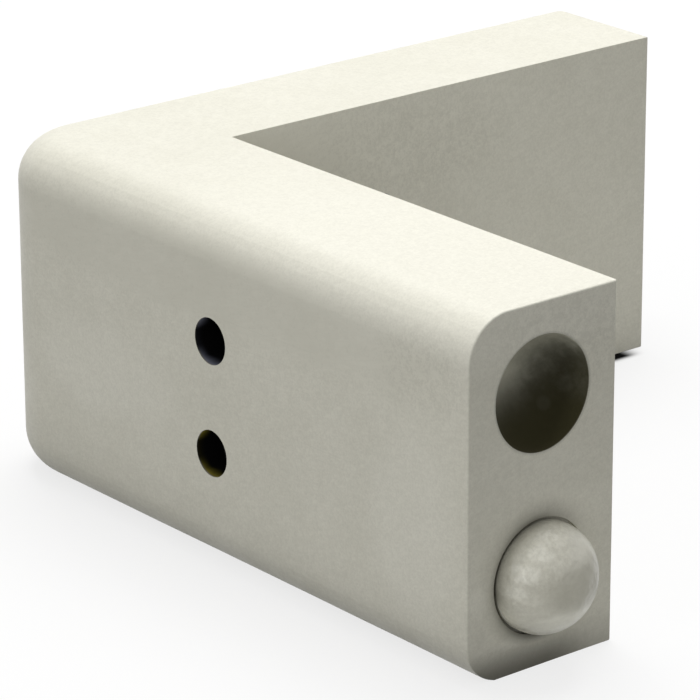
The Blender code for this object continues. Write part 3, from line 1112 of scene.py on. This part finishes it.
def floor_material(studio):
    """Pale floor that shows white, takes a light shadow and sends up less light than it shows,
    with a painted contact shadow beside the far leg's foot.
    """
    material, tree, shader, place = new_material("studio_floor")
    seen = to_the_eye(tree)
    x, y, _ = split(tree, place)
    between_legs = floor_patch(tree, x, y, (0.17, 0.22), start=0.06, end=0.17)
    before_end = floor_patch(tree, x, y, (0.335, 0.01), start=0.02, end=0.06)
    sent_up = blend_colours(tree, largest(tree, between_legs, before_end),
                            studio.floor_lit, studio.floor_card)
    # Painted contact shadow: a dark strip on the floor beside the far leg's foot, where the glow
    # is turned off.
    beside_leg = product(tree, ramp(tree, x, 0.030, 0.034), fade(tree, x, 0.042, 0.047))
    along_leg = product(tree, ramp(tree, y, 0.19, 0.23), fade(tree, y, 0.262, 0.274))
    painted_shadow = product(tree, beside_leg, along_leg)
    shown = blend_colours(tree, painted_shadow, studio.floor_shown, PAINTED_SHADOW_COLOUR)
    colour = blend_colours(tree, seen, sent_up, shown)
    tree.links.new(colour, shader.inputs["Base Color"])
    shader.inputs["Roughness"].default_value = 1.0
    shader.inputs["Specular IOR Level"].default_value = 0.0
    glow = node(tree, "Emission", {"Color": (1, 1, 1, 1), "Strength": 1.0})
    open_floor = maths(tree, "SUBTRACT", 1.0, painted_shadow)
    glowing = product(tree, seen, open_floor, studio.floor_glow)
    mixed = node(tree, "MixShader", {0: glowing, 1: shader.outputs["BSDF"],
                                     2: glow.outputs["Emission"]})
    tree.links.new(mixed.outputs["Shader"], tree.nodes["Material Output"].inputs["Surface"])
    return material


def add_floor(studio):
    """A large flat floor at the height of the base."""
    bm = bmesh.new()
    bmesh.ops.create_grid(bm, x_segments=1, y_segments=1, size=studio.floor_size / 2)
    floor = new_object("studio_floor", mesh_from(bm, "studio_floor"))
    floor.data.materials.append(floor_material(studio))


def add_sky(context, studio):
    """White to the camera, and a plain even light for everything else."""
    world = bpy.data.worlds.new("studio_sky")
    context.scene.world = world
    world.use_nodes = True
    tree = world.node_tree
    background = tree.nodes["Background"]
    seen = to_the_eye(tree)
    strength = maths(tree, "MULTIPLY_ADD", seen, 1.0 - studio.sky_strength,
                     studio.sky_strength)
    background.inputs["Color"].default_value = (1, 1, 1, 1)
    tree.links.new(strength, background.inputs["Strength"])


def add_lamp(name, stand, size, power):
    """A soft rectangular lamp aimed at the bumper."""
    lamp = bpy.data.lights.new(name, "AREA")
    lamp.shape = "RECTANGLE"
    lamp.size, lamp.size_y = size
    lamp.energy = power
    holder = new_object(name, lamp)
    holder.location = LAMP_TARGET + stand
    holder.rotation_euler = (LAMP_TARGET - holder.location).to_track_quat("-Z", "Y").to_euler()


def add_camera(context, studio):
    """The camera at the photograph's angle."""
    azimuth, elevation = studio.camera_azimuth, studio.camera_elevation
    forward = Vector((-math.sin(azimuth) * math.cos(elevation),
                      math.cos(azimuth) * math.cos(elevation), -math.sin(elevation)))
    camera = new_object("camera", bpy.data.cameras.new("camera"))
    camera.data.lens = studio.lens
    camera.location = Vector(studio.camera_target) - forward * studio.camera_distance
    level = forward.to_track_quat("-Z", "Y")
    camera.rotation_euler = (level @ Quaternion((0, 0, 1), -studio.camera_roll)).to_euler()
    context.scene.camera = camera


class BUMPER_OT_add_studio(bpy.types.Operator):
    """Add the pale floor, the even sky, two soft lamps and the camera"""

    bl_idname = "bumper.add_studio"
    bl_label = "Add Studio"

    def execute(self, context):
        """Set the stage round the bumper."""
        studio = context.scene.bumper_studio
        add_floor(studio)
        add_sky(context, studio)
        add_lamp("key", KEY_STAND, KEY_SIZE, studio.key_power)
        add_lamp("fill", FILL_STAND, FILL_SIZE, studio.fill_power)
        add_camera(context, studio)
        context.scene.view_settings.view_transform = "Standard"
        return {"FINISHED"}


class BUMPER_PT_panel(bpy.types.Panel):
    """Lists the bumper's sizes, finish and studio"""

    bl_label = "Dock Corner Bumper"
    bl_idname = "BUMPER_PT_panel"
    bl_space_type = "VIEW_3D"
    bl_region_type = "UI"
    bl_category = "Bumper"

    def draw(self, context):
        """Draw the operators and their settings."""
        layout = self.layout
        layout.operator(BUMPER_OT_add_moulding.bl_idname)
        layout.operator(BUMPER_OT_add_studio.bl_idname)
        for group in (context.scene.bumper_sizes, context.scene.bumper_finish,
                      context.scene.bumper_studio):
            box = layout.box()
            for name in group.__annotations__:
                box.prop(group, name)


CLASSES = (BumperSizes, BumperFinish, StudioSettings, BUMPER_OT_add_moulding,
           BUMPER_OT_add_studio, BUMPER_PT_panel)


def register():
    """Register the classes and give the scene its settings."""
    for cls in CLASSES:
        bpy.utils.register_class(cls)
    bpy.types.Scene.bumper_sizes = PointerProperty(type=BumperSizes)
    bpy.types.Scene.bumper_finish = PointerProperty(type=BumperFinish)
    bpy.types.Scene.bumper_studio = PointerProperty(type=StudioSettings)


def unregister():
    """Take the settings and the classes away again."""
    del bpy.types.Scene.bumper_studio
    del bpy.types.Scene.bumper_finish
    del bpy.types.Scene.bumper_sizes
    for cls in reversed(CLASSES):
        bpy.utils.unregister_class(cls)


def main():
    """Build the bumper and its studio."""
    register()
    bpy.ops.bumper.add_moulding()
    bpy.ops.bumper.add_studio()


if __name__ == "__main__":
    main()
